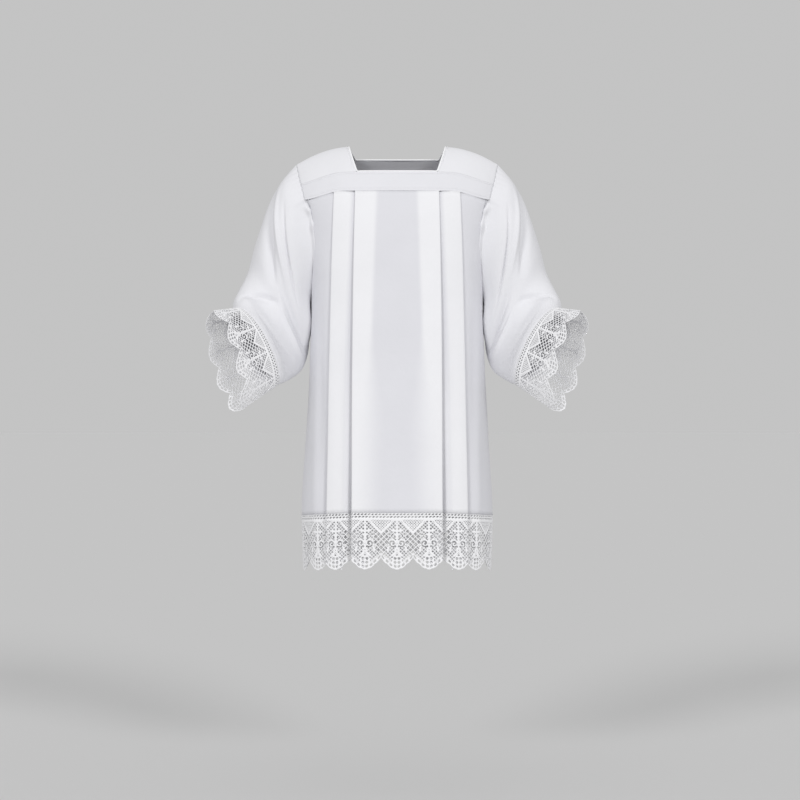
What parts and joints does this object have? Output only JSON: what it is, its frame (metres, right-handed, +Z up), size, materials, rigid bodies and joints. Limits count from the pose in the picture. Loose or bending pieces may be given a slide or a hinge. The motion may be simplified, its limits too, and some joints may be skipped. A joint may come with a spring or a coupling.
{
  "type": "surplice",
  "caption": "White square-necked surplice in its worn form, with a yoke, knife pleats, wide sleeves, and scalloped lace at hem and cuffs",
  "frame": {"origin": "midway between the shoulder ridges, where the wearer's shoulders hold the garment", "axes": "+Z up along the garment's length, the front faces -Y, the wearer's left is +X"},
  "size_m": [0.9084, 0.4232, 1.037],
  "materials": {
    "cotton": "white plain-woven cotton and polyester, matt with a faint sheen",
    "binding": "bright white cotton binding",
    "lace": "white cotton net lace with raised cords"
  },
  "bodies": {
    "root": {"front_yoke": "cotton", "back_yoke": "cotton", "shoulder_right": "cotton", "shoulder_left": "cotton", "neck_binding": "binding", "front_panel": "cotton", "back_panel": "cotton", "hem_lace_front": "lace", "hem_lace_back": "lace", "sleeve_right_front": "cotton", "sleeve_right_back": "cotton", "sleeve_left_front": "cotton", "sleeve_left_back": "cotton", "cuff_lace_right_front": "lace", "cuff_lace_right_back": "lace", "cuff_lace_left_front": "lace", "cuff_lace_left_back": "lace"}
  },
  "joints": []
}
